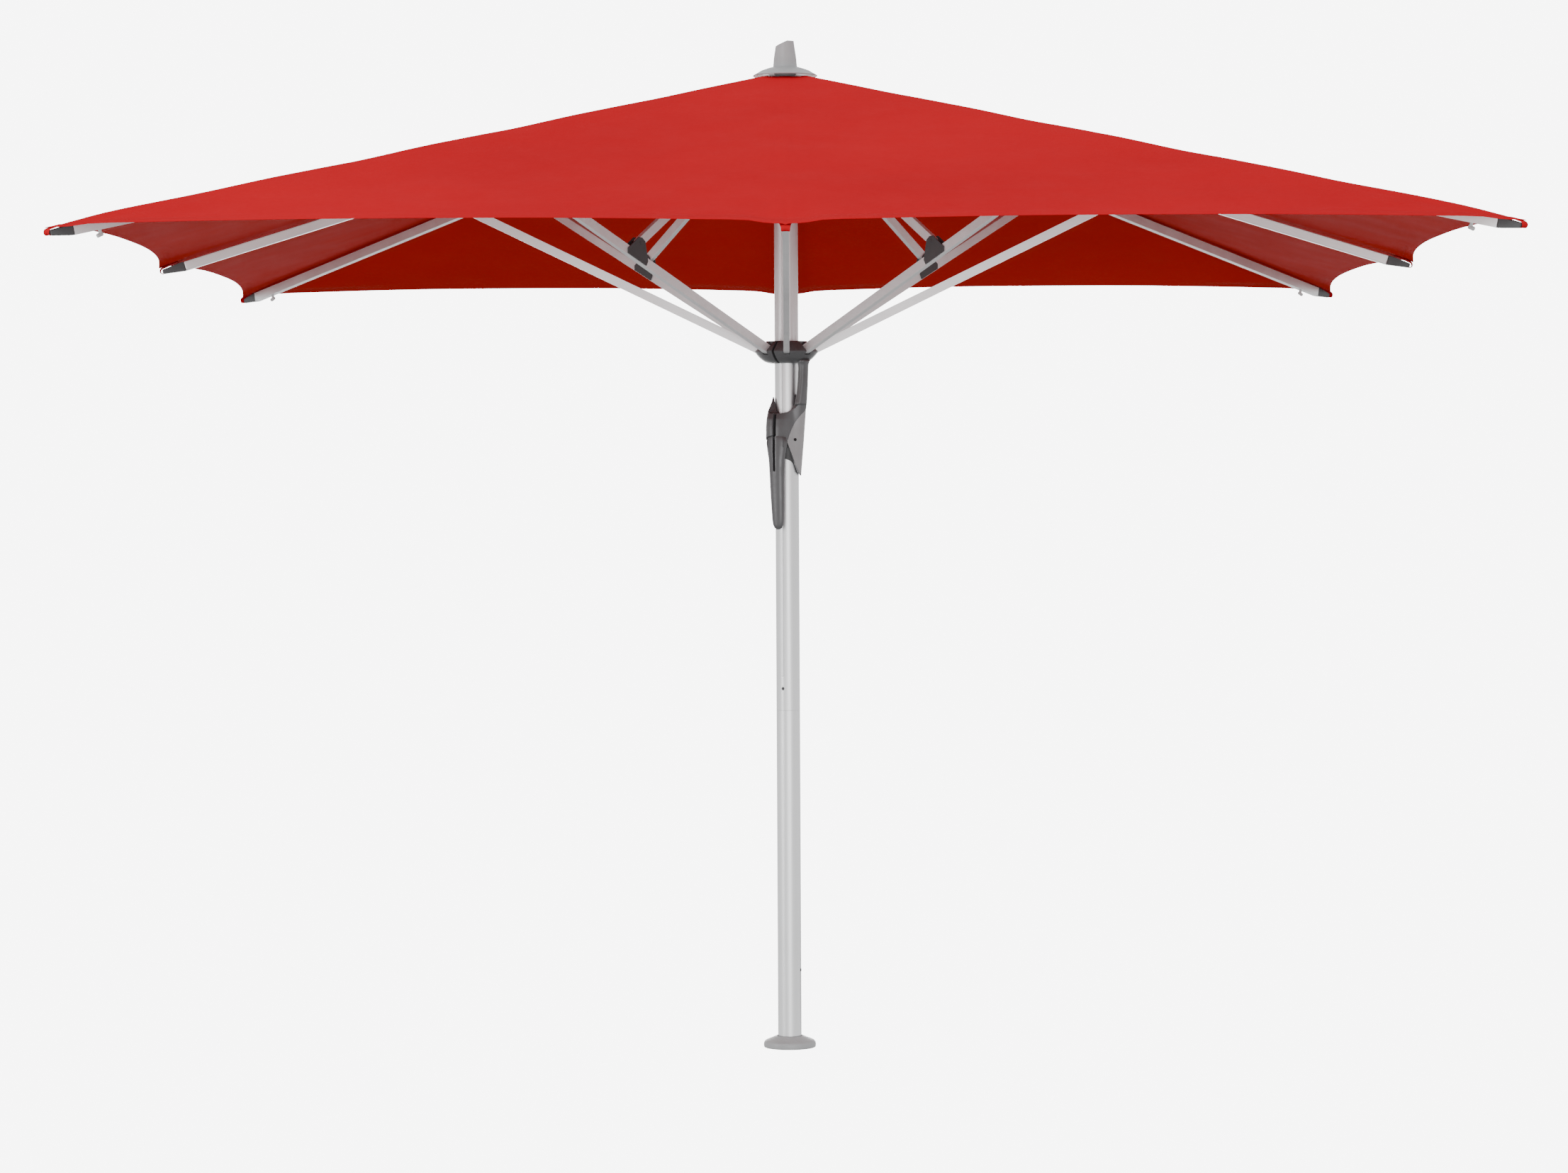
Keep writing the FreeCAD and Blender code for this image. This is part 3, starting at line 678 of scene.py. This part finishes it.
for label, azimuth in CORNERS.items():
    tilt = math.degrees(math.atan2(PIVOT_HEIGHT - RIB_TIP, HALF * math.sqrt(2) - PIVOT_REACH))
    at = placed(azimuth, PIVOT_REACH, PIVOT_HEIGHT, tilt)
    top, end = at @ Vector((HOOK_AT, 0, HOOK_TOP)), at @ Vector((HOOK_AT, 0, HOOK_END))
    back, front = at @ Vector((HOOK_AT - 0.006, 0, HOOK_END)), at @ Vector((HOOK_AT + 0.010, 0, -0.027))
    stem = round_bar("hook_" + label, top, end, 0.0042, HOOK)
    ball = round_bar("hook_end_" + label, back, front, 0.0052, HOOK)
    for piece in (stem, ball):
        soften(piece, 0.0015, 2, 40)
        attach(piece, "rib_" + label)

# ---- light, surroundings and camera --------------------------------------------------------------

# grey straight down and white from a little under the horizon up, with a bright card far behind the umbrella
CARD_EDGE = (0.943, 0.967)  # Y of the directions at which the card begins and is full
SKY, CARD = 1.15, 7.5  # strengths of the surroundings and of the card

world = bpy.data.worlds.new("studio")
bpy.context.scene.world = world
world.use_nodes = True
nodes, links = world.node_tree.nodes, world.node_tree.links
where = nodes.new("ShaderNodeTexCoord")
split = nodes.new("ShaderNodeSeparateXYZ")
ramp = nodes.new("ShaderNodeValToRGB")
links.new(where.outputs["Generated"], split.inputs[0])
shift = nodes.new("ShaderNodeMath")  # the direction's Z from -1..1 to 0..1
shift.operation = "MULTIPLY_ADD"
shift.inputs[1].default_value, shift.inputs[2].default_value = 0.5, 0.5
links.new(split.outputs["Z"], shift.inputs[0])
links.new(shift.outputs[0], ramp.inputs[0])
stops = ramp.color_ramp.elements
stops[0].position, stops[0].color = 0.18, (0.30, 0.30, 0.30, 1)
stops[1].position, stops[1].color = 0.40, (1, 1, 1, 1)
links.new(ramp.outputs[0], nodes["Background"].inputs[0])
card = nodes.new("ShaderNodeMapRange")
card.interpolation_type = "SMOOTHSTEP"
for socket, number in zip(list(card.inputs)[1:5], (*CARD_EDGE, SKY, CARD)):
    socket.default_value = number
links.new(split.outputs["Y"], card.inputs[0])
links.new(card.outputs[0], nodes["Background"].inputs[1])


def lamp(name, at, aim, size, watts):
    data = bpy.data.lights.new(name, "AREA")
    data.shape, data.size, data.size_y, data.energy = "RECTANGLE", size[0], size[1], watts
    obj = bpy.data.objects.new(name, data)
    bpy.context.scene.collection.objects.link(obj)
    obj.location = at
    obj.rotation_euler = (Vector(aim) - Vector(at)).to_track_quat("-Z", "Y").to_euler()


lamp("front", (1.0, -9.0, 0.9), (0, 0, 1.9), (5, 3), 170)
lamp("key", (-3.5, -6.5, 6.5), (0, 0, 2.2), (4, 3), 120)
lamp("left_strip", (-5.0, -3.0, 1.8), (0, 0, 1.4), (0.6, 4), 60)

LENS, CAMERA_AT = 94.03, (0.0069, -11.4436, 1.557)
YAW, PITCH, ROLL = 0.0015, -0.0233, -0.005  # radians

camera = bpy.data.cameras.new("camera")
view = bpy.data.objects.new("camera", camera)
bpy.context.scene.collection.objects.link(view)
camera.sensor_width, camera.lens, camera.clip_end = 36, LENS, 100
aimed = Matrix.Rotation(YAW, 4, "Z") @ Matrix.Rotation(math.pi / 2 + PITCH, 4, "X")
view.matrix_world = Matrix.Translation(CAMERA_AT) @ aimed @ Matrix.Rotation(ROLL, 4, "Z")
bpy.context.scene.camera = view
